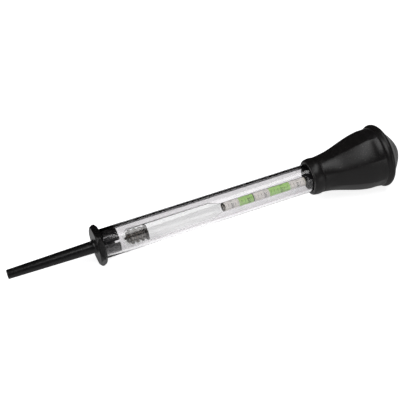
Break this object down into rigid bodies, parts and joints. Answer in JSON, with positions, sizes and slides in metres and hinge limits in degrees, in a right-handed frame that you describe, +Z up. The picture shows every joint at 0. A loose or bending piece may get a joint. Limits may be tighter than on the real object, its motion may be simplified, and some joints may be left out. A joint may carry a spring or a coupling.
{
  "type": "battery hydrometer",
  "caption": "Syringe-type hydrometer: clear barrel with loose weighted glass float and paper scale, black nozzle with hexagonal flange, soft squeeze bulb.",
  "frame": {"origin": "centre of the footprint of the object's box, on the surface that it lies on", "axes": "+X along the length from the nozzle to the bulb, +Z up; the barrel rises towards the bulb by the angle it takes when it rests on its flange and the bulb's rim"},
  "size_m": [0.2994, 0.0474, 0.0473],
  "materials": {
    "barrel_glass": "clear polished tube",
    "black_moulding": "satin black moulded rubber",
    "bulb_rubber": "satin black soft rubber",
    "float_glass": "thin blown glass",
    "steel_shot": "dull grey shot",
    "dark_cement": "dark resin",
    "scale_paper": "matt paper with printed bands",
    "pale_cement": "pale dab of cement"
  },
  "bodies": {
    "barrel": {"barrel": "barrel_glass"},
    "nozzle": {"nozzle_stopper": "black_moulding"},
    "bulb": {"squeeze_bulb": "bulb_rubber"},
    "float": {"float_glass": "float_glass", "ballast_shot": "steel_shot", "ballast_cement": "dark_cement", "scale_card": "scale_paper", "scale_cement": "pale_cement"}
  },
  "joints": [
    {"name": "float_travel", "type": "slide", "parent": "barrel", "child": "float", "axis": [0.9989, 0, 0.0473], "range_m": [-0.004, 0.0695]},
    {"name": "bulb_pull_off", "type": "slide", "parent": "barrel", "child": "bulb", "axis": [0.9989, 0, 0.0473], "range_m": [0, 0.08]},
    {"name": "nozzle_pull_out", "type": "slide", "parent": "barrel", "child": "nozzle", "axis": [-0.9989, 0, -0.0473], "range_m": [0, 0.02]}
  ]
}
